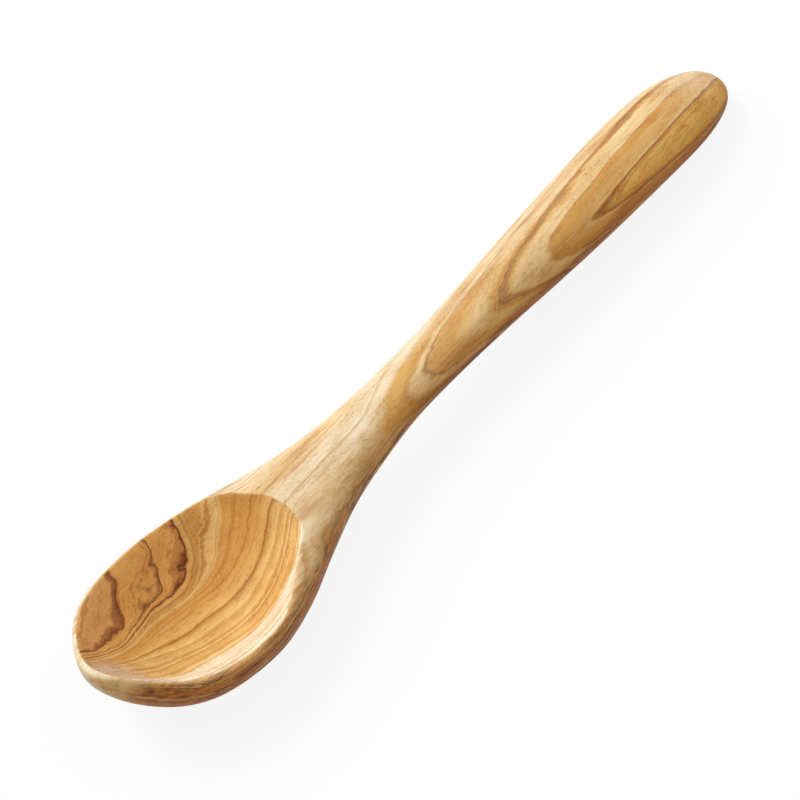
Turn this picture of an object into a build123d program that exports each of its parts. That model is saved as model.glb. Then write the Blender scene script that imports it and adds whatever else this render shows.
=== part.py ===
from build123d import *
import math
import os

# A table spoon carved in one piece from a single blank of olive wood.
# It lies as on a table: the bowl's tip at low X, the handle's end at high X, Z up,
# resting on the underside of the bowl and of the handle's end.

# Lengths along the spoon, in millimetres
bowl_length = 60.0
neck_length = 43.0
handle_length = 97.0

# Widths across the spoon
bowl_width = 37.8
neck_width = 11.7
handle_width = 16.9

# Thicknesses and heights
neck_thickness = 10.0
handle_thickness = 13.4
bowl_drop = 13.6
rim_rise = 3.4
tip_lift = 10.0

# Roundings of the bowl's tip, above and below, and of the handle's end
tip_rounding_length = 25.0
underside_rounding_length = 22.5
butt_rounding_length = 28.5

# The hollow, from the rim at the tip to the edge at the neck
tip_rim = 2.0
hollow_length = 56.4
floor_height = 4.7
hollow_depth = 13.6
neck_edge_length = 6.0

# The worn flat under the bowl that the spoon rests on
flat_depth = 0.5

# Height by which the cutting form stands over the rim
overrun = 12.0

# Shares of the bowl's, the neck's and the handle's length, each with a share of a size there
bowl_width_shares = [(0.0, 0.61), (0.2, 0.886), (0.4, 0.997), (0.6, 1.007), (0.8, 0.868)]
neck_width_shares = [(0.0, 2.085), (0.28, 1.51), (0.56, 1.186), (0.84, 1.013)]
handle_width_shares = [
    (0.07, 0.693), (0.23, 0.758), (0.38, 0.855), (0.54, 0.935),
    (0.67, 0.978), (0.77, 0.988), (0.88, 0.994), (1.0, 0.952),
]
bowl_lift_shares = [(0.0, 1.01), (0.2, 0.445), (0.4, 0.175), (0.6, 0.016), (0.8, -0.055)]
neck_lift_shares = [(0.0, 0.83), (0.28, 0.773), (0.56, 0.738), (0.84, 0.738)]
handle_lift_shares = [
    (0.07, 0.64), (0.23, 0.542), (0.38, 0.427), (0.54, 0.3),
    (0.67, 0.216), (0.77, 0.11), (0.88, -0.099), (1.0, -0.468),
]
bowl_rise_shares = [(0.0, 1.55), (0.2, 0.9), (0.4, 1.02), (0.6, 1.38), (0.8, 1.8)]
bowl_drop_shares = [(0.0, 0.94), (0.2, 0.92), (0.4, 0.922), (0.6, 0.975), (0.8, 0.96)]
neck_rise_shares = [(0.0, 1.235), (0.28, 1.154), (0.56, 1.008), (0.84, 0.995)]
neck_drop_shares = [(0.0, 2.206), (0.28, 1.486), (0.56, 1.154), (0.84, 1.008)]
handle_thickness_shares = [
    (0.07, 0.734), (0.23, 0.813), (0.38, 0.884), (0.54, 0.955),
    (0.67, 0.982), (0.77, 0.984), (0.88, 0.99), (1.0, 0.9),
]

# How full a section's corners are above and below its widest line: 0.55 is an ellipse, 1 is boxy
bowl_fullness_shares = [(0.0, 0.65), (0.8, 0.65)]
neck_fullness_shares = [(0.0, 0.68), (0.28, 0.65), (0.56, 0.63), (0.84, 0.615)]
handle_fullness_share = 0.613
underside_fullness_share = 0.65

# How square the ends are in plan and profile: 2 is an ellipse
end_squareness_share = 2.05
butt_squareness_share = 2.75

# Points along each quarter of a section's outline
quarter_steps = 6

# How far out the last section of each rounded end lies, which leaves it a small face
tip_reach_share = 0.997
butt_reach_share = 0.998

# Places of the sections, as shares of the length that each row belongs to
tip_station_shares = [0.0, 0.03, 0.09, 0.16, 0.27, 0.42, 0.6, 0.8]
bowl_station_shares = [0.4, 0.5, 0.6, 0.7, 0.8, 0.9]
neck_station_shares = [0.0, 0.14, 0.28, 0.45, 0.7]
handle_station_shares = [0.0, 0.15, 0.3, 0.45, 0.6]
butt_station_shares = [1.0, 0.8, 0.62, 0.46, 0.32, 0.2, 0.11, 0.05, 0.015, 0.0]

# Shares of the hollow's length, with the lip's place across on each side as a share of the body
near_lip_shares = [
    (0.0, 0.93), (0.5, 0.935), (0.62, 0.93), (0.71, 0.875), (0.78, 0.8),
    (0.85, 0.735), (0.91, 0.68), (1.0, 0.7),
]
far_lip_shares = [
    (0.0, 0.93), (0.5, 0.94), (0.71, 0.945), (0.78, 0.93), (0.85, 0.91),
    (0.9, 0.87), (0.94, 0.73), (0.97, 0.56), (1.0, 0.48),
]
# Height of the hollow's floor along the middle, as shares of the hollow's depth
floor_shares = [
    (0.0, 1.38), (0.06, 1.169), (0.124, 0.926), (0.195, 0.669), (0.284, 0.404), (0.39, 0.184),
    (0.496, 0.051), (0.603, 0.0), (0.691, 0.029), (0.771, 0.162), (0.851, 0.397), (0.922, 0.669),
    (0.975, 0.897), (1.0, 0.99),
]
# Wall of the hollow from its floor to the lip, as shares of the half width and of the depth
wall_shares = [(0.0, -1.0), (0.24, -0.955), (0.45, -0.82), (0.63, -0.6), (0.78, -0.355), (0.9, -0.145)]
# The cutting form over the lip, as shares of the half width and of the overrun
overrun_shares = [(1.0, 0.0), (1.12, 0.14), (1.24, 0.36), (1.22, 0.62), (0.9, 0.87), (0.45, 0.98)]
hollow_station_shares = [
    0.0, 0.015, 0.05, 0.11, 0.19, 0.28, 0.38, 0.48, 0.58, 0.67,
    0.75, 0.82, 0.88, 0.925, 0.96, 0.983, 0.996, 1.0,
]
neck_edge_squareness_share = 2.2
top_squareness_share = 2.35

spoon_length = bowl_length + neck_length + handle_length
tip_place = -spoon_length / 2
neck_start = bowl_length
handle_start = bowl_length + neck_length
bowl_seat = bowl_drop - flat_depth
handle_seat = handle_thickness / 2


def placed(shares, start, length, base, size):
    """Turn shares into places along the spoon, each with the size found there."""
    return [(start + along * length, base + share * size) for along, share in shares]


def smooth(points, at):
    """Read a smooth curve through the points, at one place along the spoon."""
    count = len(points)
    slopes = []
    for i in range(count):
        before = points[max(i - 1, 0)]
        after = points[min(i + 1, count - 1)]
        slopes.append((after[1] - before[1]) / (after[0] - before[0]))
    i = 0
    while i < count - 2 and at > points[i + 1][0]:
        i += 1
    gap = points[i + 1][0] - points[i][0]
    t = (at - points[i][0]) / gap
    start_part = (1 + 2 * t) * (1 - t) ** 2 * points[i][1] + t * (1 - t) ** 2 * gap * slopes[i]
    end_part = t**2 * (3 - 2 * t) * points[i + 1][1] + t**2 * (t - 1) * gap * slopes[i + 1]
    return start_part + end_part


def rounding(reach, squareness):
    """Share of the full section that is left at a share of the way out to a rounded end."""
    return (1 - max(reach, 0.0) ** squareness) ** (1 / squareness)


half_widths = (
    placed(bowl_width_shares, 0.0, bowl_length, 0.0, bowl_width / 2)
    + placed(neck_width_shares, neck_start, neck_length, 0.0, neck_width / 2)
    + placed(handle_width_shares, handle_start, handle_length, 0.0, handle_width / 2)
)
middles = (
    placed(bowl_lift_shares, 0.0, bowl_length, bowl_seat, tip_lift)
    + placed(neck_lift_shares, neck_start, neck_length, handle_seat, bowl_seat - handle_seat)
    + placed(handle_lift_shares, handle_start, handle_length, handle_seat, bowl_seat - handle_seat)
)
rises = (
    placed(bowl_rise_shares, 0.0, bowl_length, 0.0, rim_rise)
    + placed(neck_rise_shares, neck_start, neck_length, 0.0, neck_thickness / 2)
    + placed(handle_thickness_shares, handle_start, handle_length, 0.0, handle_thickness / 2)
)
drops = (
    placed(bowl_drop_shares, 0.0, bowl_length, 0.0, bowl_drop)
    + placed(neck_drop_shares, neck_start, neck_length, 0.0, neck_thickness / 2)
    + placed(handle_thickness_shares, handle_start, handle_length, 0.0, handle_thickness / 2)
)
near_lips = placed(near_lip_shares, tip_rim, hollow_length, 0.0, 1)
far_lips = placed(far_lip_shares, tip_rim, hollow_length, 0.0, 1)
floors = placed(floor_shares, tip_rim, hollow_length, floor_height, hollow_depth)
fullnesses = (
    placed(bowl_fullness_shares, 0.0, bowl_length, 0.0, 1)
    + placed(neck_fullness_shares, neck_start, neck_length, 0.0, 1)
    + [(handle_start, handle_fullness_share), (spoon_length, handle_fullness_share)]
)


def quarter(start, first_handle, second_handle, end):
    """Points along one quarter of a section's outline, all but its last."""
    points = []
    for i in range(quarter_steps):
        t = i / quarter_steps
        shares = ((1 - t) ** 3, 3 * t * (1 - t) ** 2, 3 * t**2 * (1 - t), t**3)
        corners = (start, first_handle, second_handle, end)
        across = sum(share * corner[0] for share, corner in zip(shares, corners))
        up = sum(share * corner[1] for share, corner in zip(shares, corners))
        points.append((across, up))
    return points


def sizes(at):
    """Half width, rise and drop of the body at one place, rounded off towards both ends."""
    tip = rounding(tip_reach_share * (1 - at / tip_rounding_length), end_squareness_share)
    under = rounding(tip_reach_share * (1 - at / underside_rounding_length), end_squareness_share)
    from_butt = spoon_length - at
    butt = rounding(butt_reach_share * (1 - from_butt / butt_rounding_length), butt_squareness_share)
    half_width = smooth(half_widths, at) * tip * butt
    return half_width, smooth(rises, at) * tip * butt, smooth(drops, at) * under * butt


def outline(place, points):
    """A closed smooth face through points, on a plane across the spoon."""
    with BuildSketch(place) as section:
        with BuildLine():
            add(Edge.make_spline(points, periodic=True, parameters=range(len(points) + 1)))
        make_face()
    return section.sketch.face()


def body_section(at):
    """The spoon's section at one place."""
    half_width, rise, drop = sizes(at)
    above = smooth(fullnesses, at)
    below = underside_fullness_share
    left = (-half_width, 0)
    right = (half_width, 0)
    top = (0, rise)
    bottom = (0, -drop)
    place = Plane(origin=(tip_place + at, 0, smooth(middles, at)), x_dir=(0, 1, 0), z_dir=(1, 0, 0))
    points = quarter(top, (above * half_width, rise), (half_width, above * rise), right)
    points += quarter(right, (half_width, -below * drop), (below * half_width, -drop), bottom)
    points += quarter(bottom, (-below * half_width, -drop), (-half_width, -below * drop), left)
    points += quarter(left, (-half_width, above * rise), (-above * half_width, rise), top)
    return outline(place, points)


def hollow_section(at):
    """Section of the form that cuts the hollow: floor and walls below the lip, and room above it."""
    half_width, rise, drop = sizes(at)
    middle = smooth(middles, at)
    from_tip = at - tip_rim
    from_neck = hollow_length - from_tip
    end = rounding(tip_reach_share * (1 - from_tip / tip_rounding_length), end_squareness_share)
    end *= rounding(tip_reach_share * (1 - from_neck / neck_edge_length), neck_edge_squareness_share)
    floor = smooth(floors, at)
    top = middle + rise + overrun
    sides = []
    for lips in (far_lips, near_lips):
        across = smooth(half_widths, at) * smooth(lips, at) * end
        lip = middle + rise * rounding(min(across / half_width, 1), top_squareness_share)
        side = [(share * across, lip + depth * (lip - floor)) for share, depth in wall_shares]
        side += [(share * across, lip + height * (top - lip)) for share, height in overrun_shares]
        sides.append(side)
    far, near = sides
    points = [(0, top)] + far[::-1] + [(-across, up) for across, up in near[1:]]
    return outline(Plane(origin=(tip_place + at, 0, 0), x_dir=(0, 1, 0), z_dir=(1, 0, 0)), points)


stations = [share * tip_rounding_length for share in tip_station_shares]
stations += [share * bowl_length for share in bowl_station_shares]
stations += [neck_start + share * neck_length for share in neck_station_shares]
stations += [handle_start + share * handle_length for share in handle_station_shares]
stations += [spoon_length - share * butt_rounding_length for share in butt_station_shares]

body_sections = [body_section(station) for station in stations]

hollow_stations = [tip_rim + share * hollow_length for share in hollow_station_shares]
hollow_sections = [hollow_section(station) for station in hollow_stations]

# The spoon: a body lofted through its sections and made even by mirroring its half,
# the hollow taken out, and the worn flat cut below
with BuildPart() as spoon:
    loft(body_sections)
    split(bisect_by=Plane.XZ, keep=Keep.TOP)
    mirror(about=Plane.XZ)
    loft(hollow_sections, mode=Mode.SUBTRACT)
    split(bisect_by=Plane.XY, keep=Keep.TOP)

spoon.part.label = "spoon"
os.makedirs("parts", exist_ok=True)
export_step(spoon.part, "parts/spoon.step")
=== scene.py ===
import math

import bpy
import numpy as np
from mathutils import Matrix, Vector


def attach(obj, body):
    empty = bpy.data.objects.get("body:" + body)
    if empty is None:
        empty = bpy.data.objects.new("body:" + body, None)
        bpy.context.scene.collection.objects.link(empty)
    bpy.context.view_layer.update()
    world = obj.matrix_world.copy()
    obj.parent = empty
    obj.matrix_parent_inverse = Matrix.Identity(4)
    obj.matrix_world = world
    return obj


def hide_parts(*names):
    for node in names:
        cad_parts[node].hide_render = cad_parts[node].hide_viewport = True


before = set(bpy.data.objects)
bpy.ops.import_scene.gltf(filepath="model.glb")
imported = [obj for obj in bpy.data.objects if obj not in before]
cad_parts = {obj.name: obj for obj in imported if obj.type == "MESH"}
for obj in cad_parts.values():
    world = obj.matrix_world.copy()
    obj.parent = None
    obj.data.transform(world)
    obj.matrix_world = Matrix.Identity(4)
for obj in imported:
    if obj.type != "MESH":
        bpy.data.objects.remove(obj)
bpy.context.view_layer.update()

# The looks of a wooden table spoon, carved from one blank of olive wood.
# Lengths are in millimetres, as in the part's own source, and become metres when the mesh is made.
MM = 0.001

# Driving sizes, the part's own, but the bowl is a touch narrower and its rim thinner at the tip
BOWL_LENGTH, NECK_LENGTH, HANDLE_LENGTH = 60.0, 43.0, 97.0
BOWL_WIDTH, NECK_WIDTH, HANDLE_WIDTH = 37.78, 11.7, 16.9
NECK_THICKNESS, HANDLE_THICKNESS = 10.0, 13.4
BOWL_DROP, RIM_RISE, TIP_LIFT = 13.6, 3.4, 10.0
TIP_ROUNDING, UNDERSIDE_ROUNDING, BUTT_ROUNDING = 25.0, 22.5, 28.5
TIP_RIM, HOLLOW_LENGTH, FLOOR_HEIGHT, HOLLOW_DEPTH = 1.2, 57.2, 4.7, 13.6
NECK_EDGE, FLAT_DEPTH, OVERRUN = 6.0, 0.5, 12.0
LENGTH = BOWL_LENGTH + NECK_LENGTH + HANDLE_LENGTH
HANDLE_START = BOWL_LENGTH + NECK_LENGTH
BOWL_SEAT, HANDLE_SEAT = BOWL_DROP - FLAT_DEPTH, HANDLE_THICKNESS / 2

# Shares of the bowl's, the neck's and the handle's length, each with a share of a size there
BOWL_WIDTHS = [(0.0, 0.61), (0.2, 0.886), (0.4, 0.997), (0.6, 1.007), (0.8, 0.868)]
NECK_WIDTHS = [(0.0, 2.085), (0.28, 1.51), (0.56, 1.186), (0.84, 1.013)]
HANDLE_WIDTHS = [
    (0.07, 0.693), (0.23, 0.758), (0.38, 0.855), (0.54, 0.935),
    (0.67, 0.978), (0.77, 0.988), (0.88, 0.994), (1.0, 0.952),
]
BOWL_LIFTS = [(0.0, 1.01), (0.2, 0.445), (0.4, 0.175), (0.6, 0.016), (0.8, -0.055)]
NECK_LIFTS = [(0.0, 0.83), (0.28, 0.773), (0.56, 0.738), (0.84, 0.738)]
HANDLE_LIFTS = [
    (0.07, 0.64), (0.23, 0.542), (0.38, 0.427), (0.54, 0.3),
    (0.67, 0.216), (0.77, 0.11), (0.88, -0.099), (1.0, -0.468),
]
BOWL_RISES = [(0.0, 1.55), (0.2, 0.9), (0.4, 1.02), (0.6, 1.38), (0.8, 1.8)]
BOWL_DROPS = [(0.0, 0.94), (0.2, 0.92), (0.4, 0.922), (0.6, 0.975), (0.8, 0.96)]
NECK_RISES = [(0.0, 1.235), (0.28, 1.154), (0.56, 1.008), (0.84, 0.995)]
NECK_DROPS = [(0.0, 2.206), (0.28, 1.486), (0.56, 1.154), (0.84, 1.008)]
HANDLE_DEPTHS = [
    (0.07, 0.734), (0.23, 0.813), (0.38, 0.884), (0.54, 0.955),
    (0.67, 0.982), (0.77, 0.984), (0.88, 0.99), (1.0, 0.9),
]

# How full a section's corners are, and how square the ends and the neck edge are
BOWL_FULLNESSES = [(0.0, 0.65), (0.8, 0.65)]
NECK_FULLNESSES = [(0.0, 0.68), (0.28, 0.65), (0.56, 0.63), (0.84, 0.615)]
HANDLE_FULLNESS, FULLNESS_BELOW = 0.613, 0.65
END_SQUARENESS, BUTT_SQUARENESS, EDGE_SQUARENESS, TOP_SQUARENESS = 2.05, 2.75, 2.2, 2.35

# Shares of the hollow's length, with the lip's place across and the floor's height
# The far lip lies a little further out than the part's, which makes the rim thinner there
NEAR_LIPS = [
    (0.0, 0.93), (0.5, 0.935), (0.62, 0.93), (0.71, 0.875), (0.78, 0.8),
    (0.85, 0.735), (0.91, 0.68), (1.0, 0.7),
]
FAR_LIPS = [
    (0.0, 0.95), (0.5, 0.96), (0.71, 0.955), (0.78, 0.935), (0.85, 0.91),
    (0.9, 0.87), (0.94, 0.73), (0.97, 0.56), (1.0, 0.48),
]
FLOORS = [
    (0.0, 1.38), (0.06, 1.169), (0.124, 0.926), (0.195, 0.669), (0.284, 0.404), (0.39, 0.184),
    (0.496, 0.051), (0.603, 0.0), (0.691, 0.029), (0.771, 0.162), (0.851, 0.397), (0.922, 0.669),
    (0.975, 0.897), (1.0, 0.99),
]
# Wall of the hollow, from its floor to the lip and on over it
WALL = [
    (-0.24, -0.955), (0.0, -1.0), (0.24, -0.955), (0.45, -0.82), (0.63, -0.6), (0.78, -0.355),
    (0.9, -0.145), (1.0, 0.0),
]
OVER_LIP = [(1.0, 0.0), (1.12, 0.14), (1.24, 0.36), (1.4, 0.8)]

# The lip is worn round on the near side, less so on the far side, and crisp at the neck edge
NEAR_LIP, FAR_LIP, CRISP_LIP = 1.8, 0.7, 0.6
LIP_CHANGE = 6.0
CRISP_FROM, CRISP_TO = 46.0, 54.0

# How finely the surface is divided, and the least share and size that are divided by
TIP_STEPS, BOWL_STEP, HANDLE_STEP, BUTT_STEPS = 170, 0.22, 0.5, 110
STEPS_ABOVE, STEPS_BELOW = 60, 26
LEAST_SHARE, LEAST_SIZE = 1e-4, 1e-6

CAMERA_AZIMUTH, CAMERA_ELEVATION, CAMERA_ROLL = -47.37, 49.12, 7.705
PICTURE_WIDTH, TARGET_RIGHT, TARGET_UP = 155.34, -2.493, 4.166
LENS, SENSOR = 1500.0, 36.0

# The studio, in metres: how strong the light from all round and the lamp are, where the lamp hangs,
# the floor's greys and its share of plain white, half the floor's width, and how far the camera sees
WORLD_STRENGTH, KEY_POWER = 0.54, 64.0
KEY_DIRECTION, KEY_DISTANCE, KEY_SIZE = (-0.15, 0.75, 0.85), 3.0, 1.8
FLOOR_BOUNCE, FLOOR_SEEN, FLOOR_WHITE = 0.65, 1.0, 0.88
FLOOR_HALF, SIGHT = 40.0, 100.0


def placed(rows, start, length, base, size):
    """Turn shares into places along the spoon, each with the size found there."""
    return [(start + along * length, base + share * size) for along, share in rows]


def smooth(points, at):
    """Read a smooth curve through the points, at an array of places."""
    places, values = (np.array(column, float) for column in zip(*points))
    slopes = np.gradient(values, places, edge_order=1)
    slopes[1:-1] = (values[2:] - values[:-2]) / (places[2:] - places[:-2])
    i = np.clip(np.searchsorted(places, at) - 1, 0, len(places) - 2)
    gap = places[i + 1] - places[i]
    t = (at - places[i]) / gap
    start_part = (1 + 2 * t) * (1 - t) ** 2 * values[i] + t * (1 - t) ** 2 * gap * slopes[i]
    end_part = t**2 * (3 - 2 * t) * values[i + 1] + t**2 * (t - 1) * gap * slopes[i + 1]
    return start_part + end_part


def rounding(reach, squareness):
    """Share of the full section that is left at a share of the way out to a rounded end."""
    return (1 - np.clip(reach, 0, 1) ** squareness) ** (1 / squareness)


def ease(value, low, high):
    """Go smoothly from 0 at low to 1 at high."""
    t = np.clip((value - low) / (high - low), 0, 1)
    return t * t * (3 - 2 * t)


half_widths = (
    placed(BOWL_WIDTHS, 0, BOWL_LENGTH, 0, BOWL_WIDTH / 2)
    + placed(NECK_WIDTHS, BOWL_LENGTH, NECK_LENGTH, 0, NECK_WIDTH / 2)
    + placed(HANDLE_WIDTHS, HANDLE_START, HANDLE_LENGTH, 0, HANDLE_WIDTH / 2)
)
middles = (
    placed(BOWL_LIFTS, 0, BOWL_LENGTH, BOWL_SEAT, TIP_LIFT)
    + placed(NECK_LIFTS, BOWL_LENGTH, NECK_LENGTH, HANDLE_SEAT, BOWL_SEAT - HANDLE_SEAT)
    + placed(HANDLE_LIFTS, HANDLE_START, HANDLE_LENGTH, HANDLE_SEAT, BOWL_SEAT - HANDLE_SEAT)
)
rises = (
    placed(BOWL_RISES, 0, BOWL_LENGTH, 0, RIM_RISE)
    + placed(NECK_RISES, BOWL_LENGTH, NECK_LENGTH, 0, NECK_THICKNESS / 2)
    + placed(HANDLE_DEPTHS, HANDLE_START, HANDLE_LENGTH, 0, HANDLE_THICKNESS / 2)
)
drops = (
    placed(BOWL_DROPS, 0, BOWL_LENGTH, 0, BOWL_DROP)
    + placed(NECK_DROPS, BOWL_LENGTH, NECK_LENGTH, 0, NECK_THICKNESS / 2)
    + placed(HANDLE_DEPTHS, HANDLE_START, HANDLE_LENGTH, 0, HANDLE_THICKNESS / 2)
)
fullnesses = (
    placed(BOWL_FULLNESSES, 0, BOWL_LENGTH, 0, 1)
    + placed(NECK_FULLNESSES, BOWL_LENGTH, NECK_LENGTH, 0, 1)
    + [(HANDLE_START, HANDLE_FULLNESS), (LENGTH, HANDLE_FULLNESS)]
)


def sizes(at):
    """Half width, rise and drop of the body, rounded off towards both ends."""
    tip = rounding(1 - at / TIP_ROUNDING, END_SQUARENESS)
    under = rounding(1 - at / UNDERSIDE_ROUNDING, END_SQUARENESS)
    butt = rounding(1 - (LENGTH - at) / BUTT_ROUNDING, BUTT_SQUARENESS)
    half_width = smooth(half_widths, at) * tip * butt
    return half_width, smooth(rises, at) * tip * butt, smooth(drops, at) * under * butt


def stations():
    """Places along the spoon, closer together in the bowl and towards both ends."""
    quarter_turn = math.pi / 2
    tip = TIP_ROUNDING * (1 - np.cos(np.linspace(0, quarter_turn, TIP_STEPS)))
    bowl = np.arange(TIP_ROUNDING, BOWL_LENGTH, BOWL_STEP)
    handle = np.arange(BOWL_LENGTH, LENGTH - BUTT_ROUNDING, HANDLE_STEP)
    butt = LENGTH - BUTT_ROUNDING * (1 - np.sin(np.linspace(0, quarter_turn, BUTT_STEPS)))
    return np.concatenate([tip[:-1], bowl, handle, butt])


def quarter(t, fullness_start, fullness_end):
    """Across and up on a quarter of a section from its top to its side, as shares of their sizes."""
    across = 3 * t * (1 - t) ** 2 * fullness_start + 3 * t**2 * (1 - t) + t**3
    up = (1 - t) ** 3 + 3 * t * (1 - t) ** 2 + 3 * t**2 * (1 - t) * fullness_end
    return across, up


def hollow_height(at, across):
    """Height of the hollow's surface, far above the spoon where there is no hollow."""
    half_width, rise, _ = sizes(at)
    middle = smooth(middles, at)
    from_tip = at - TIP_RIM
    from_neck = HOLLOW_LENGTH - from_tip
    share = np.clip(from_tip / HOLLOW_LENGTH, 0, 1)
    end = rounding(1 - from_tip / TIP_ROUNDING, END_SQUARENESS)
    end = end * rounding(1 - from_neck / NECK_EDGE, EDGE_SQUARENESS)
    floor = FLOOR_HEIGHT + HOLLOW_DEPTH * smooth(FLOORS, share)
    lips = np.where(across > 0, smooth(FAR_LIPS, share), smooth(NEAR_LIPS, share))
    lip_place = smooth(half_widths, at) * lips * np.maximum(end, LEAST_SHARE)
    reach = np.minimum(lip_place / np.maximum(half_width, LEAST_SIZE), 1)
    lip = middle + rise * rounding(reach, TOP_SQUARENESS)
    place = np.abs(across) / lip_place
    last = OVER_LIP[-1][0]
    wall = lip + smooth(WALL, np.minimum(place, 1)) * (lip - floor)
    over = lip + OVERRUN * (smooth(OVER_LIP, np.clip(place, 1, last)) + np.maximum(place - last, 0))
    far_above = 10 * OVERRUN
    inside = (from_tip > 0) & (from_neck > 0)
    return np.where(inside, np.where(place < 1, wall, over), far_above)


def spoon_points():
    """The surface's points, a row for each place along it and a column for each place round it.

    Also how far the blank's surface lies above the hollow's there, less than 0 outside the hollow.
    """
    at = stations()[:, None]
    half_width, rise, drop = sizes(at)
    middle = smooth(middles, at)
    above = np.arange(STEPS_ABOVE)[None] / STEPS_ABOVE
    below = np.arange(STEPS_BELOW)[None] / STEPS_BELOW
    fullness = smooth(fullnesses, at)
    right, right_up = quarter(above, fullness, fullness)
    left, left_up = quarter(1 - above, fullness, fullness)
    under_right, under_down = quarter(1 - below, FULLNESS_BELOW, FULLNESS_BELOW)
    under_left, left_down = quarter(below, FULLNESS_BELOW, FULLNESS_BELOW)
    rows = np.ones_like(at)
    across = half_width * np.hstack([right, rows * under_right, -rows * under_left, -left])
    up = np.hstack([rise * right_up, -drop * under_down, -drop * left_down, rise * left_up]) + middle
    along = at + np.zeros_like(across)
    hollow = hollow_height(along, across)
    lip = NEAR_LIP + (FAR_LIP - NEAR_LIP) * ease(across, -LIP_CHANGE, LIP_CHANGE)
    lip = lip + (CRISP_LIP - lip) * ease(along, CRISP_FROM, CRISP_TO)
    # Within the lip's width of each other, the two surfaces melt into a smooth lower one
    near = np.maximum(lip - np.abs(up - hollow), 0) / lip
    cut = np.minimum(up, hollow) - near**2 * lip / 4
    on_top = np.ones(across.shape[1], bool)
    on_top[STEPS_ABOVE + 1:-STEPS_ABOVE] = False
    inside = np.where(on_top, up - hollow, -OVERRUN)
    up = np.maximum(np.where(on_top, cut, up), 0.0)
    return along, across, up, inside


# Layers of the wood in the bowl: lines at one depth in the wood, as places along and across
BOWL_LINES = [
    (-14.0, [
        (0, -8), (12, -14.5), (22, -17.3), (33, -18), (43, -16.8), (50, -14), (54, -11.5), (58, -9),
    ]),
    (-8.0, [
        (0, -4), (12, -5.5), (22, -5.7), (31, -7.3), (37, -9.4), (43, -11.0), (47, -11.3), (52, -9.2),
        (57, -6.4),
    ]),
    (-3.0, [
        (0, 0.5), (12, 1.2), (17, 1.2), (23, 0), (30, -1.8), (37, -2.9), (43, -4.2), (50, -4.3),
        (57, -2.2),
    ]),
    (3.0, [
        (0, 2), (12, 3.4), (20, 4.7), (27, 5.6), (33, 5.5), (38, 4.6), (42, 3.2), (47, 2.1), (51, 2),
        (57, 3.7),
    ]),
    (7.0, [
        (0, 3), (12, 4.8), (20, 6.2), (27, 7.5), (32, 7.3), (37, 6.6), (42, 6.8), (47, 7.8), (53, 11.7),
        (57, 16),
    ]),
    (10.0, [
        (0, 3.8), (12, 5.8), (18, 6.9), (24, 8.5), (30, 9.6), (36, 9.2), (40, 9.8), (43, 11.8), (45, 16),
        (47, 24),
    ]),
    (12.5, [
        (0, 4.4), (12, 6.4), (18, 7.5), (24, 9.1), (30, 10.2), (34, 10.6), (36, 13), (38, 17), (40, 27),
    ]),
    (16.0, [
        (0, 5.2), (8, 6.5), (12, 7.5), (17, 8.9), (22, 10.4), (25.4, 14.7), (28, 18.5), (31, 30),
    ]),
    (22.0, [(0, 8), (8, 12), (14, 17), (20, 24), (31, 40)]),
]

# Layers on the handle: places along, by the turn in degrees from the far side over the top
HANDLE_LINES = [
    (0.0, [
        (-45, 150), (0, 122), (45, 103), (62, 94), (82, 86), (102, 78), (120, 72), (135, 70), (150, 74),
        (170, 82), (190, 92), (215, 110), (260, 140), (315, 150),
    ]),
    (-3.3, [
        (-45, 215), (0, 180), (45, 137), (60, 122), (75, 112), (88, 105), (102, 100), (120, 95),
        (133, 91), (145, 92), (156, 95), (175, 100), (190, 108), (215, 130), (260, 190), (315, 215),
    ]),
    (-4.2, [
        (-45, 235), (0, 200), (45, 160), (60, 142), (75, 123), (87, 112), (93, 108), (108, 104),
        (121, 101.5), (132, 101), (150, 104), (160, 108), (171, 114), (182, 120), (205, 138), (225, 170),
        (315, 235),
    ]),
    (-7.3, [
        (-45, 260), (45, 205), (60, 177), (68, 165), (74, 154), (79, 147), (88, 140), (97, 134),
        (108, 129.5), (121, 127), (131, 126), (142, 127), (162, 132), (181, 138), (203, 147), (225, 175),
        (315, 260),
    ]),
    (-7.7, [
        (-45, 267), (45, 211), (60, 183), (68, 171), (74, 160), (79, 153), (88, 145), (97, 138),
        (108, 133), (121, 129.5), (131, 128), (142, 129), (162, 133.6), (181, 139.6), (203, 149),
        (225, 178), (315, 265),
    ]),
    (-9.6, [
        (-45, 270), (60, 235), (85, 195), (95, 172), (102, 158), (107, 151), (114, 146), (126, 142.5),
        (138, 141.5), (150, 143), (163, 147), (175, 152), (184, 160), (191, 171), (205, 195), (315, 270),
    ]),
    (-11.6, [
        (-45, 280), (95, 220), (112, 198), (120, 187), (126, 172), (131, 161), (138, 155), (146, 154),
        (155, 158), (163, 165), (170, 176), (182, 200), (315, 280),
    ]),
    (-14.0, [
        (-45, 300), (105, 230), (122, 205), (133, 178), (140, 168), (147, 166), (153, 170), (161, 182),
        (172, 215), (315, 300),
    ]),
]
HANDLE_LINES_FROM, HANDLE_LINES_TO = 82.0, 98.0
HANDLE_LINES_MIDDLE, HANDLE_LINES_HALF, HANDLE_LINES_FADE = 135.0, 95.0, 130.0
# Turns are counted on from the first one, and two lines never lie closer than the gap
FIRST_TURN, LEAST_GAP = -45.0, 0.2

# Layers in the rest of the blank: a slanted, slightly cupped stack, as across a place on the handle
LAYER_PLACE, LAYER_HEIGHT, LAYER_SPAN = 140.0, 10.0, 50.0
LAYER_RISE, LAYER_DRIFT, LAYER_BEND, LAYER_CUP, LAYER_TWIST = 0.79, 0.13, -0.27, 0.071, 0.13
# On the neck they stop at a depth, and follow the side below its middle
LAYER_LOWEST, SIDE_LAYER_STEP = -1.8, 0.55
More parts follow.
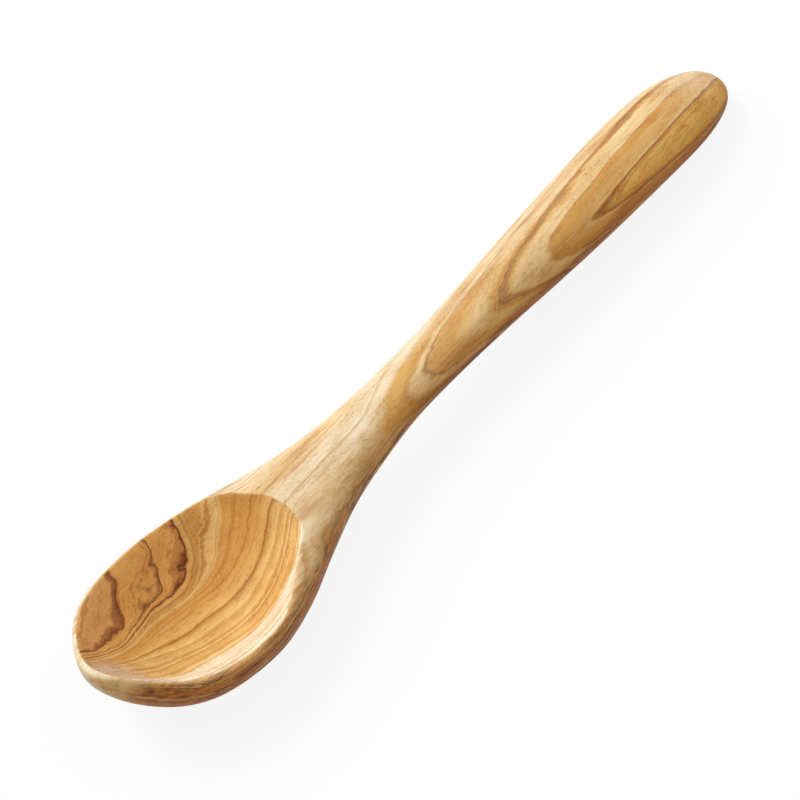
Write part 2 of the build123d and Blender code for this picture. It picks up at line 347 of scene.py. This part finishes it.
# Outside the bowl the layers follow its rim: the depth at the rim, and its change for each mm down
RIM_LAYER, RIM_LAYER_STEP, RIM_SHARE = -0.6, 0.65, 0.4
RIM_LAYERS_TO, RIM_LAYERS_FROM = 44.0, 60.0

# Where the bowl's own layers take over at its lip, in millimetres above the hollow
BOWL_LAYERS_FROM, BOWL_LAYERS_TO = -0.5, 0.3

# The handle's far side is paler down to the dark V, and so are the tip and the handle's end: partly pale
# wood, partly painted light
PALE_SHARE, PALE_TIP = 0.6, (2.0, 5.0)
PALE_TURNS, PALE_LAYERS, PALE_ALONG = (66.0, 92.0), (-7.25, -7.0), (80.0, 100.0)
PALE_END_TURNS, PALE_END_ALONG = (95.0, 130.0), (180.0, 196.0)
# The near side is more golden, partly the wood's tone and partly painted shade, and low down it has brown
# streaks that also paint shade
GOLDEN_TURNS, GOLDEN_TURNS_END = (115.0, 160.0), (225.0, 270.0)
LOW_TURNS, LOW_TURNS_END, LOW_ALONG = (158.0, 192.0), (225.0, 270.0), (2.0, 6.0)
# On the bowl and the neck the streaks start higher up the side, by this many degrees
LOW_TURN_BACK, LOW_TURN_BACK_ALONG = 16.0, (85.0, 110.0)
# Near the tip the bowl's layers show as fine greyish lines on the near side, partly a painted pale
# reflection
GREY_ALONG, GREY_ACROSS = (7.0, 13.0), (1.0, 5.0)


def between_lines(lines, along_line, across_lines):
    """Depth in the wood at points, from their places along the lines and across them."""
    crossings = [smooth(line, np.clip(along_line, line[0][0], line[-1][0])) for _, line in lines]
    values = [value for value, _ in lines]
    found = np.full(np.shape(across_lines), values[0], float)
    for i in range(len(values) - 1):
        gap = np.maximum(crossings[i + 1] - crossings[i], LEAST_GAP)
        share = np.clip((across_lines - crossings[i]) / gap, 0, 1)
        found = found + share * (values[i + 1] - values[i])
    return found


def turn_round(along, across, up):
    """The turn of points round the spoon in degrees, from the far side over the top."""
    half_width, rise, drop = sizes(along)
    height = up - smooth(middles, along)
    size = np.maximum(np.where(height > 0, rise, drop), LEAST_SIZE)
    turn = np.degrees(np.arctan2(height / size, across / np.maximum(half_width, LEAST_SIZE)))
    return np.where(turn < FIRST_TURN, turn + 360, turn)


def block_layers(along, across, up):
    """Depth in the wood at places outside the bowl."""
    far = (along - LAYER_PLACE) / LAYER_SPAN
    high = up - LAYER_HEIGHT
    drift = LAYER_DRIFT * (along - LAYER_PLACE) + LAYER_BEND * far**2
    stack = across - LAYER_RISE * high - drift - LAYER_CUP * high**2 - LAYER_TWIST * far * high
    turn = turn_round(along, across, up)
    rim_height = smooth(middles, along) + RIM_SHARE * smooth(rises, along)
    rim = RIM_LAYER - RIM_LAYER_STEP * (rim_height - up)
    below = np.maximum(smooth(middles, along) - up, 0)
    stack = np.maximum(stack, LAYER_LOWEST) - SIDE_LAYER_STEP * below
    stack = rim + ease(along, RIM_LAYERS_TO, RIM_LAYERS_FROM) * (stack - rim)
    handle = between_lines(HANDLE_LINES, turn, along)
    away = np.abs(turn - HANDLE_LINES_MIDDLE)
    share = ease(along, HANDLE_LINES_FROM, HANDLE_LINES_TO)
    share = share * (1 - ease(away, HANDLE_LINES_HALF, HANDLE_LINES_FADE))
    return stack + share * (handle - stack)


def pale_wood_and_light(along, across, up, layers):
    """How far a place is painted pale, partly pale wood and partly painted light: along the handle's far
    side, at its end and at the tip.
    """
    turn = turn_round(along, across, up)
    side = (1 - ease(turn, *PALE_TURNS)) * ease(layers, *PALE_LAYERS) * ease(along, *PALE_ALONG)
    end = (1 - ease(turn, *PALE_END_TURNS)) * ease(along, *PALE_END_ALONG)
    return np.maximum(np.maximum(side, end) * PALE_SHARE, 1 - ease(along, *PALE_TIP))


def near_side(along, across, up, turns, turns_end):
    """How far a place lies on the near side, between two changes as it is turned; the painted shade there
    follows it.
    """
    turn = turn_round(along, across, up)
    return ease(turn, *turns) * (1 - ease(turn, *turns_end))


def low_streaks_and_shade(along, across, up):
    """How far a place lies in the brown streaks low on the near side, partly the wood's and partly painted
    shade.
    """
    back = LOW_TURN_BACK * (1 - ease(along, *LOW_TURN_BACK_ALONG))
    turns = (LOW_TURNS[0] - back, LOW_TURNS[1] - back)
    return near_side(along, across, up, turns, LOW_TURNS_END) * ease(along, *LOW_ALONG)


def spoon_object():
    """The spoon's mesh, closed to a point at both ends, with the wood's layers kept on its points."""
    along, across, up, inside = spoon_points()
    rows, columns = along.shape
    xyz = np.stack([along - LENGTH / 2, across, up], axis=-1)
    points = np.vstack([xyz[1:-1].reshape(-1, 3), xyz[0, :1], xyz[-1, :1]])
    numbers = np.arange((rows - 2) * columns).reshape(rows - 2, columns)
    beside = np.roll(numbers, -1, axis=1)
    quads = np.stack([numbers[:-1], numbers[1:], beside[1:], beside[:-1]], axis=-1).reshape(-1, 4)
    tip, butt = len(points) - 2, len(points) - 1
    fans = [(tip, a, b) for a, b in zip(numbers[0], beside[0])]
    fans += [(butt, b, a) for a, b in zip(numbers[-1], beside[-1])]
    mesh = bpy.data.meshes.new("spoon_wood")
    faces = quads.tolist() + [tuple(map(int, fan)) for fan in fans]
    mesh.from_pydata((points * MM).tolist(), [], faces)
    block = block_layers(along, across, up)
    kept = {
        "bowl_layers": between_lines(BOWL_LINES, along, across),
        "block_layers": block,
        "in_bowl": ease(inside, BOWL_LAYERS_FROM, BOWL_LAYERS_TO),
        "pale_wood_and_light": pale_wood_and_light(along, across, up, block),
        "golden_shade_side": near_side(along, across, up, GOLDEN_TURNS, GOLDEN_TURNS_END),
        "low_streaks_and_shade": low_streaks_and_shade(along, across, up),
        "tip_grey_and_reflection": (1 - ease(along, *GREY_ALONG)) * (1 - ease(across, *GREY_ACROSS)),
    }
    for name, values in kept.items():
        flat = np.concatenate([values[1:-1].ravel(), values[0, :1], values[-1, :1]])
        mesh.attributes.new(name, "FLOAT", "POINT").data.foreach_set("value", flat)
    mesh.shade_smooth()
    return bpy.data.objects.new("spoon_wood", mesh)


# Colours of the oiled wood, milk also a painted highlight, as red, green and blue in display values
COLOURS = {
    "milk_and_highlight": (1.0, 0.94, 0.82), "cream": (0.98, 0.90, 0.76), "pale": (0.97, 0.84, 0.62),
    "straw": (0.94, 0.78, 0.51), "gold": (0.91, 0.72, 0.42), "sun": (1.0, 0.82, 0.48),
    "honey": (0.83, 0.62, 0.33), "tan": (0.90, 0.71, 0.44), "amber": (0.87, 0.65, 0.34),
    "orange": (0.92, 0.69, 0.38), "brown": (0.68, 0.43, 0.23), "dark": (0.50, 0.25, 0.13),
    "toast": (0.90, 0.67, 0.41), "smoke": (0.76, 0.57, 0.38), "corn": (0.87, 0.69, 0.38),
}

# Bands of colour by depth in the wood, in the bowl and in the rest of the blank; the milk band at the
# bowl's near rim is partly a painted highlight
BOWL_BANDS = [
    (-14.0, "milk_and_highlight"), (-9.6, "milk_and_highlight"), (-9.0, "pale"), (-8.5, "straw"), (-8.1, "honey"), (-7.6, "gold"),
    (-6.6, "straw"), (-6.1, "honey"), (-5.7, "straw"), (-4.9, "honey"), (-4.3, "straw"), (-3.2, "corn"),
    (-2.8, "honey"), (-2.3, "straw"), (-0.8, "corn"), (-0.2, "honey"), (0.5, "gold"), (3.1, "amber"),
    (6.0, "amber"), (6.8, "straw"), (7.8, "gold"), (9.4, "gold"), (9.8, "dark"), (10.05, "brown"),
    (10.5, "orange"), (12.1, "orange"), (12.45, "dark"), (12.95, "orange"), (15.6, "orange"),
    (15.95, "dark"), (16.5, "brown"), (17.1, "toast"),
]
BLOCK_BANDS = [
    (-16.0, "sun"), (-12.9, "sun"), (-12.4, "gold"), (-12.1, "honey"), (-11.8, "brown"), (-11.6, "honey"),
    (-11.4, "pale"), (-11.1, "gold"), (-10.5, "tan"), (-9.9, "amber"), (-9.6, "gold"), (-9.2, "pale"),
    (-8.0, "pale"), (-7.8, "gold"), (-7.65, "smoke"), (-7.35, "smoke"), (-7.1, "gold"), (-6.4, "pale"),
    (-5.3, "gold"), (-5.0, "tan"), (-4.5, "tan"), (-4.3, "smoke"), (-4.15, "pale"), (-3.7, "pale"),
    (-3.3, "amber"), (-3.1, "gold"), (-2.2, "gold"), (-1.5, "cream"), (1.6, "cream"), (6.0, "pale"),
    (12.0, "cream"),
]


def linear(colour):
    """A display colour as the linear values that Blender takes, by the numbers of the sRGB standard."""
    return tuple(v / 12.92 if v <= 0.04045 else ((v + 0.055) / 1.055) ** 2.4 for v in colour) + (1.0,)


def grey(value):
    """A grey as a display colour."""
    return (value, value, value)


BLACK, WHITE = grey(0.0), grey(1.0)

# Each noise: waves in a millimetre along, across and up the spoon, then its detail and roughness
NOISES = {
    "sway": ((0.05, 0.2, 0.2), 2.0, 0.5),
    "quiver": ((0.25, 0.9, 0.9), 2.0, 0.5),
    "jags": ((0.3, 0.4, 0.4), 1.5, 0.6),
    "patches": ((0.22, 0.35, 0.35), 3.0, 0.65),
    "streaks": ((0.025, 0.35, 0.35), 3.0, 0.55),
    "breaks": ((0.03, 0.8, 0.8), 4.0, 0.65),
    "fibres": ((0.06, 2.4, 2.4), 3.0, 0.6),
    "mottle": ((0.12, 0.3, 0.3), 3.0, 0.6),
    "pores": ((1.2, 3.6, 3.6), 3.0, 0.65),
}
RING_DETAIL, RING_ROUGHNESS = 3.0, 0.6

# Each tint: it goes from one colour to another between two values of a noise or of the rings
TINTS = {
    "rings": (0.32, (0.86, 0.76, 0.62), 0.5, WHITE),
    "patches": (0.5, BLACK, 0.66, WHITE),
    "grey lines and reflection": (0.4, (0.68, 0.52, 0.42), 0.55, (0.92, 0.82, 0.74)),
    "streaks": (0.34, (0.90, 0.82, 0.72), 0.52, WHITE),
    "streak_and_shade_dashes": (0.42, (0.58, 0.46, 0.36), 0.56, (0.94, 0.82, 0.66)),
    "fibres": (0.3, (0.84, 0.77, 0.68), 0.5, WHITE),
    "mottle": (0.34, (0.94, 0.89, 0.83), 0.6, WHITE),
    "pores": (0.34, (0.82, 0.73, 0.62), 0.48, WHITE),
    # Pale specks that paint glints on the wood
    "painted_glints": (0.54, BLACK, 0.7, (0.5, 0.43, 0.3)),
}
# The brown of the stains, and the golden tint that paints shade on the near side
STAIN, GOLDEN_SHADE = (0.80, 0.58, 0.44), (1.0, 0.92, 0.78)

# How far the layers stray, the depths from which the veins are ragged, and those of the brown patches
SWAY, QUIVER, JAGS = 1.2, 0.6, 1.9
VEINS_FROM, VEINS_TO = 8.6, 10.0
STAIN_FROM, STAIN_MOST, STAIN_TO = 9.4, 9.9, 11.0

# Rings in a unit of depth, and how strongly each part of the figure, the painted light and shade and the
# painted glints show, from 0 to 1
BOWL_RINGS, BROAD_RINGS, GREY_RINGS, BLOCK_RINGS, DASH_RINGS = 1.7, 0.7, 3.5, 1.2, 2.4
BOWL_RINGS_SHOW, BROAD_RINGS_SHOW, BLOCK_RINGS_SHOW = 0.8, 0.6, 0.7
GREY_SHOWS, PALE_SHOWS, STREAKS_SHOW = 0.65, 0.75, 0.8
FIBRES_SHOW, MOTTLE_SHOWS, PAINTED_GLINTS_SHOW = 0.5, 0.6, 0.7
DASH_LINES, DASH_BREAKS = 0.55, 0.45

# Pores are plainest where the mottle is low
MOTTLE_LOW, MOTTLE_HIGH, PORES_MOST, PORES_LEAST = 0.36, 0.6, 0.75, 0.1

# The skin: its roughness falls from the first to the second along the fibres' noise
ROUGHNESS = (0.62, 0.45)
SPECULAR, BUMP, BUMP_DEPTH, PORE_BUMP = 0.2, 0.15, 0.0002, 0.6


class Nodes:
    """A short way to write the nodes of a material or of the world."""

    def __init__(self, owner):
        owner.use_nodes = True
        self.tree = owner.node_tree
        self.tree.nodes.clear()

    def add(self, kind, settings=None, **inputs):
        """Add a node, set its properties, and set or link its inputs by name."""
        node = self.tree.nodes.new(kind)
        for name, value in (settings or {}).items():
            setattr(node, name, value)
        for name, value in inputs.items():
            self.put(node.inputs[name.replace("_", " ")], value)
        return node

    def put(self, socket, value):
        """Link an output to a socket, or set the socket's value."""
        if isinstance(value, bpy.types.NodeSocket):
            self.tree.links.new(value, socket)
        else:
            socket.default_value = value

    def math(self, operation, *values):
        """One sum on numbers or sockets."""
        node = self.add("ShaderNodeMath", {"operation": operation})
        for socket, value in zip(node.inputs, values):
            self.put(socket, value)
        return node.outputs[0]

    def between(self, value, low, high, start=0.0, end=1.0):
        """A number that goes from start to end while a value goes from low to high."""
        limits = {"From_Min": low, "From_Max": high, "To_Min": start, "To_Max": end}
        return self.add("ShaderNodeMapRange", Value=value, **limits).outputs[0]

    def kept(self, name):
        """A number kept on the mesh's points."""
        return self.add("ShaderNodeAttribute", {"attribute_name": name}).outputs["Fac"]

    def noise_node(self, dimensions, **inputs):
        """The smooth output of a noise, from 0 to 1."""
        node = self.add("ShaderNodeTexNoise", {"noise_dimensions": dimensions}, **inputs)
        return node.outputs["Factor" if "Factor" in node.outputs else "Fac"]

    def noise(self, where, name):
        """One of the noises in the wood."""
        waves, detail, roughness = NOISES[name]
        node = self.add("ShaderNodeVectorMath", {"operation": "MULTIPLY"})
        self.put(node.inputs[0], where)
        node.inputs[1].default_value = [part / MM for part in waves]
        vector = node.outputs[0]
        return self.noise_node("3D", Vector=vector, Scale=1.0, Detail=detail, Roughness=roughness)

    def drift(self, where, name):
        """One of the noises, from -0.5 to 0.5."""
        return self.math("SUBTRACT", self.noise(where, name), 0.5)

    def rings(self, depth, scale):
        """Uneven rings from 0 to 1 along a depth in the wood."""
        return self.noise_node("1D", W=depth, Scale=scale, Detail=RING_DETAIL, Roughness=RING_ROUGHNESS)

    def ramp(self, value, stops, interpolation="EASE"):
        """Colours that follow a value from the first stop to the last."""
        low, high = stops[0][0], stops[-1][0]
        node = self.add("ShaderNodeValToRGB", Fac=self.between(value, low, high))
        node.color_ramp.interpolation = interpolation
        elements = node.color_ramp.elements
        while len(elements) > 1:
            elements.remove(elements[-1])
        for i, (at, colour) in enumerate(stops):
            place = (at - low) / (high - low)
            stop = elements[0] if i == 0 else elements.new(place)
            stop.position = place
            stop.color = linear(colour)
        return node.outputs["Color"]

    def tint(self, value, name):
        """One of the tints, by a noise or by rings."""
        low, first, high, last = TINTS[name]
        return self.ramp(value, [(low, first), (high, last)])

    def bands(self, depth, bands):
        """The bands' colours along a depth in the wood."""
        return self.ramp(depth, [(at, COLOURS[name]) for at, name in bands], "LINEAR")

    def mix(self, blend, share, first, second):
        """Two colours mixed by a share."""
        node = self.add("ShaderNodeMix", {"data_type": "RGBA", "blend_type": blend})
        self.put(node.inputs[0], share)
        self.put(node.inputs[6], first)
        self.put(node.inputs[7], second)
        return node.outputs[2]

    def darker(self, share, colour, tint):
        """A colour darkened by a tint."""
        return self.mix("MULTIPLY", share, colour, tint)


def bowl_wood(nodes, where, wander):
    """The bowl's bands and rings, its ragged veins, brown patches at one vein and grey lines at the tip,
    partly a painted reflection.
    """
    layers = nodes.kept("bowl_layers")
    in_veins = nodes.between(layers, VEINS_FROM, VEINS_TO)
    jags = nodes.math("MULTIPLY", nodes.math("MULTIPLY", nodes.drift(where, "jags"), in_veins), JAGS)
    depth = nodes.math("ADD", nodes.math("ADD", layers, wander), jags)
    wood = nodes.bands(depth, BOWL_BANDS)
    wood = nodes.darker(BOWL_RINGS_SHOW, wood, nodes.tint(nodes.rings(depth, BOWL_RINGS), "rings"))
    broad = nodes.between(in_veins, 0.0, 1.0, BROAD_RINGS_SHOW, 0.0)
    wood = nodes.darker(broad, wood, nodes.tint(nodes.rings(depth, BROAD_RINGS), "rings"))
    patches = nodes.tint(nodes.noise(where, "patches"), "patches")
    beside_vein = nodes.ramp(depth, [(STAIN_FROM, BLACK), (STAIN_MOST, WHITE), (STAIN_TO, BLACK)])
    stained = nodes.mix("MULTIPLY", 1.0, patches, beside_vein)
    wood = nodes.darker(stained, wood, linear(STAIN))
    # Greyish lines at the tip: partly the layers, partly a painted reflection
    grey_lines_and_reflection = nodes.tint(nodes.rings(depth, GREY_RINGS), "grey lines and reflection")
    return nodes.mix("MIX", nodes.math("MULTIPLY", nodes.kept("tip_grey_and_reflection"), GREY_SHOWS), wood, grey_lines_and_reflection)


def block_wood(nodes, where, wander):
    """The bands and rings of the rest of the blank, its pale and golden sides and its brown streaks, which
    also paint light on the far side and shade on the near side.
    """
    depth = nodes.math("ADD", nodes.kept("block_layers"), wander)
    wood = nodes.bands(depth, BLOCK_BANDS)
    wood = nodes.darker(BLOCK_RINGS_SHOW, wood, nodes.tint(nodes.rings(depth, BLOCK_RINGS), "rings"))
    # Pale wood, partly painted light on the far side, at the tip and at the end
    pale = nodes.math("MULTIPLY", nodes.kept("pale_wood_and_light"), PALE_SHOWS)
    wood = nodes.mix("MIX", pale, wood, linear(COLOURS["cream"]))
    # Painted shade: the near side is tinted golden and darker
    wood = nodes.darker(nodes.kept("golden_shade_side"), wood, linear(GOLDEN_SHADE))
    wood = nodes.darker(STREAKS_SHOW, wood, nodes.tint(nodes.noise(where, "streaks"), "streaks"))
    # Brown streaks low on the near side, partly the wood's and partly painted shade
    breaks = nodes.math("MULTIPLY", nodes.noise(where, "breaks"), DASH_BREAKS)
    streak_and_shade_dashes = nodes.math("MULTIPLY_ADD", nodes.rings(depth, DASH_RINGS), DASH_LINES, breaks)
    return nodes.darker(nodes.kept("low_streaks_and_shade"), wood, nodes.tint(streak_and_shade_dashes, "streak_and_shade_dashes"))


def olive_wood():
    """Oiled olive wood: bands by the layers, fine fibres along the spoon, pores with painted glints and a
    satin skin.
    """
    material = bpy.data.materials.new("olive_wood")
    nodes = Nodes(material)
    where = nodes.add("ShaderNodeTexCoord").outputs["Object"]
    sway = nodes.math("MULTIPLY", nodes.drift(where, "sway"), SWAY)
    wander = nodes.math("MULTIPLY_ADD", nodes.drift(where, "quiver"), QUIVER, sway)
    block = block_wood(nodes, where, wander)
    wood = nodes.mix("MIX", nodes.kept("in_bowl"), block, bowl_wood(nodes, where, wander))

    fibres = nodes.noise(where, "fibres")
    mottle = nodes.noise(where, "mottle")
    pores = nodes.noise(where, "pores")
    pores_show = nodes.between(mottle, MOTTLE_LOW, MOTTLE_HIGH, PORES_MOST, PORES_LEAST)
    painted_glints_show = nodes.math("MULTIPLY", pores_show, PAINTED_GLINTS_SHOW)
    wood = nodes.darker(FIBRES_SHOW, wood, nodes.tint(fibres, "fibres"))
    wood = nodes.darker(MOTTLE_SHOWS, wood, nodes.tint(mottle, "mottle"))
    wood = nodes.darker(pores_show, wood, nodes.tint(pores, "pores"))
    # Painted glints: pale specks screened on where the pores are
    wood = nodes.mix("SCREEN", painted_glints_show, wood, nodes.tint(pores, "painted_glints"))

    roughness = nodes.between(fibres, 0.0, 1.0, *ROUGHNESS)
    height = nodes.math("MULTIPLY_ADD", pores, PORE_BUMP, fibres)
    bump = nodes.add("ShaderNodeBump", Strength=BUMP, Distance=BUMP_DEPTH, Height=height).outputs["Normal"]
    shader = nodes.add("ShaderNodeBsdfPrincipled", Base_Color=wood, Roughness=roughness, Normal=bump)
    shader.inputs["Specular IOR Level"].default_value = SPECULAR
    nodes.add("ShaderNodeOutputMaterial", Surface=shader.outputs["BSDF"])
    return material


def seen_rays(nodes):
    """1 for what the camera sees straight on, in a gloss or through glass, else 0."""
    rays = nodes.add("ShaderNodeLightPath").outputs
    seen = nodes.math("MAXIMUM", rays["Is Camera Ray"], rays["Is Glossy Ray"])
    return nodes.math("MAXIMUM", seen, rays["Is Transmission Ray"])


def floor_material():
    """A plain floor that looks white, keeps the spoon's soft shadow and throws little light back up."""
    material = bpy.data.materials.new("floor_white")
    nodes = Nodes(material)
    seen = seen_rays(nodes)
    colour = nodes.mix("MIX", seen, linear(grey(FLOOR_BOUNCE)), linear(grey(FLOOR_SEEN)))
    lit = nodes.add("ShaderNodeBsdfDiffuse", Color=colour).outputs[0]
    white = nodes.add("ShaderNodeEmission", Strength=1.0).outputs[0]
    both = nodes.add("ShaderNodeMixShader", Fac=nodes.math("MULTIPLY", seen, FLOOR_WHITE))
    nodes.put(both.inputs[1], lit)
    nodes.put(both.inputs[2], white)
    nodes.add("ShaderNodeOutputMaterial", Surface=both.outputs[0])
    return material


def add_floor():
    """A wide floor under the spoon."""
    half = FLOOR_HALF
    mesh = bpy.data.meshes.new("floor")
    corners = [(-half, -half, 0), (half, -half, 0), (half, half, 0), (-half, half, 0)]
    mesh.from_pydata(corners, [], [(0, 1, 2, 3)])
    mesh.materials.append(floor_material())
    floor = bpy.data.objects.new("floor", mesh)
    bpy.context.scene.collection.objects.link(floor)


def camera_axes():
    """Right, up and back of the camera, rolled about its own line of sight."""
    azimuth, elevation, roll = map(math.radians, (CAMERA_AZIMUTH, CAMERA_ELEVATION, CAMERA_ROLL))
    level = math.cos(elevation)
    back = Vector((math.sin(azimuth) * level, -math.cos(azimuth) * level, math.sin(elevation)))
    right = Vector((math.cos(azimuth), math.sin(azimuth), 0.0))
    up = back.cross(right)
    return (
        right * math.cos(roll) - up * math.sin(roll),
        right * math.sin(roll) + up * math.cos(roll),
        back,
    )


def add_camera():
    """The camera at the photograph's viewing angle, with a long lens."""
    right, up, back = camera_axes()
    data = bpy.data.cameras.new("camera")
    data.lens = LENS
    data.sensor_width = SENSOR
    data.clip_end = SIGHT
    camera = bpy.data.objects.new("camera", data)
    distance = PICTURE_WIDTH * LENS / SENSOR
    place = (right * TARGET_RIGHT + up * TARGET_UP + back * distance) * MM
    turned = Matrix((right, up, back)).transposed().to_4x4()
    camera.matrix_world = Matrix.Translation(place) @ turned
    bpy.context.scene.collection.objects.link(camera)
    bpy.context.scene.camera = camera


def add_light(name, direction, distance, size, power):
    """A square soft light that faces the spoon."""
    data = bpy.data.lights.new(name, "AREA")
    data.size = size
    data.energy = power
    light = bpy.data.objects.new(name, data)
    toward = Vector(direction).normalized()
    light.location = toward * distance
    light.rotation_euler = toward.to_track_quat("Z", "Y").to_euler()
    bpy.context.scene.collection.objects.link(light)


def add_world():
    """Plain pale light from all round, in front of a white background."""
    world = bpy.data.worlds.new("studio")
    bpy.context.scene.world = world
    nodes = Nodes(world)
    strength = nodes.between(seen_rays(nodes), 0.0, 1.0, WORLD_STRENGTH, 1.0)
    background = nodes.add("ShaderNodeBackground", Color=linear(WHITE), Strength=strength)
    nodes.add("ShaderNodeOutputWorld", Surface=background.outputs[0])


spoon = spoon_object()
bpy.context.scene.collection.objects.link(spoon)
spoon.data.materials.append(olive_wood())
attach(spoon, "root")
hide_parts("spoon")

add_floor()
add_camera()
add_world()
add_light("key", KEY_DIRECTION, KEY_DISTANCE, KEY_SIZE, KEY_POWER)
bpy.context.scene.view_settings.view_transform = "Standard"
